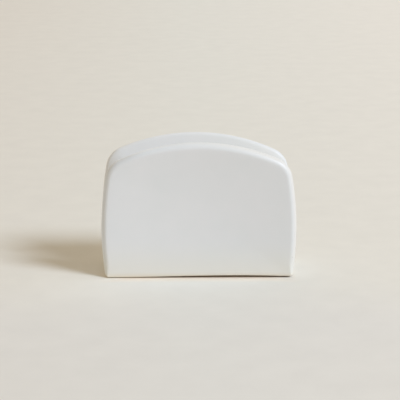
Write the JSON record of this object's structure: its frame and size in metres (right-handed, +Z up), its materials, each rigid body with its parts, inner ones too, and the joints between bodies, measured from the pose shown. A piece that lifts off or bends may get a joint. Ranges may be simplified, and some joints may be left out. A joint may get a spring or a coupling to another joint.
{
  "type": "napkin holder",
  "caption": "Upright glazed porcelain napkin holder: arched leaves with soft rims, sloped inside and dished outside, joined by a low base with a recessed foot, hold folded napkins on edge between them.",
  "frame": {"origin": "on the table, under the middle of the holder", "axes": "+X to the right along the leaves, +Y from the front leaf to the rear leaf, +Z up"},
  "size_m": [0.131, 0.041, 0.0918],
  "materials": {
    "porcelain_glaze": "clear satin glaze over white porcelain, softly matt",
    "porcelain_biscuit": "unglazed, fettled and sponged, matt"
  },
  "bodies": {
    "root": {"front_leaf": "porcelain_glaze", "rear_leaf": "porcelain_glaze", "trough_floor": "porcelain_glaze", "foot_ring": "porcelain_biscuit", "front_seam": "porcelain_glaze", "rear_seam": "porcelain_glaze"}
  },
  "joints": []
}
